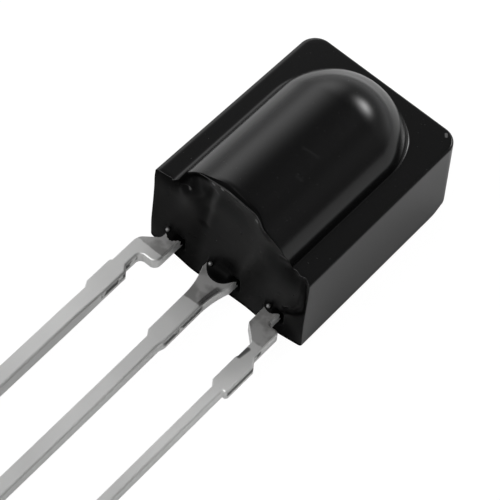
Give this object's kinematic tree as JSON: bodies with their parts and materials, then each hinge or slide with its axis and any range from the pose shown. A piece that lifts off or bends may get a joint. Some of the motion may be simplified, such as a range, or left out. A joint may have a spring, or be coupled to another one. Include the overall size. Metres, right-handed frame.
{
  "type": "infrared receiver module",
  "caption": "Dark cast resin package with a bullet-shaped lens on its flat front and parallel stamped leads, for receiving infrared remote-control signals.",
  "frame": {"origin": "on the package's flat back, under the middle of the lens dome, which is also straight below the light-sensitive chip", "axes": "+X across the package from the left lead to the right one as seen from the lens side, +Y from the leads to the top of the package, +Z out through the lens. The module lies on its back, lens up, and its leads lean back towards the same surface."},
  "size_m": [0.0062, 0.03, 0.0054],
  "materials": {
    "dark_resin": "satin gloss, as cast",
    "tinned_metal": "bright tin plate, faintly uneven",
    "silicon": "polished",
    "gold_wire": "bright"
  },
  "bodies": {
    "root": {"epoxy_body": "dark_resin", "lead_output": "tinned_metal", "lead_ground": "tinned_metal", "lead_supply": "tinned_metal", "photodiode_chip": "silicon", "receiver_chip": "silicon", "bond_wire_output": "gold_wire", "bond_wire_supply": "gold_wire", "bond_wire_diode": "gold_wire", "bond_wire_ground": "gold_wire"}
  },
  "joints": []
}
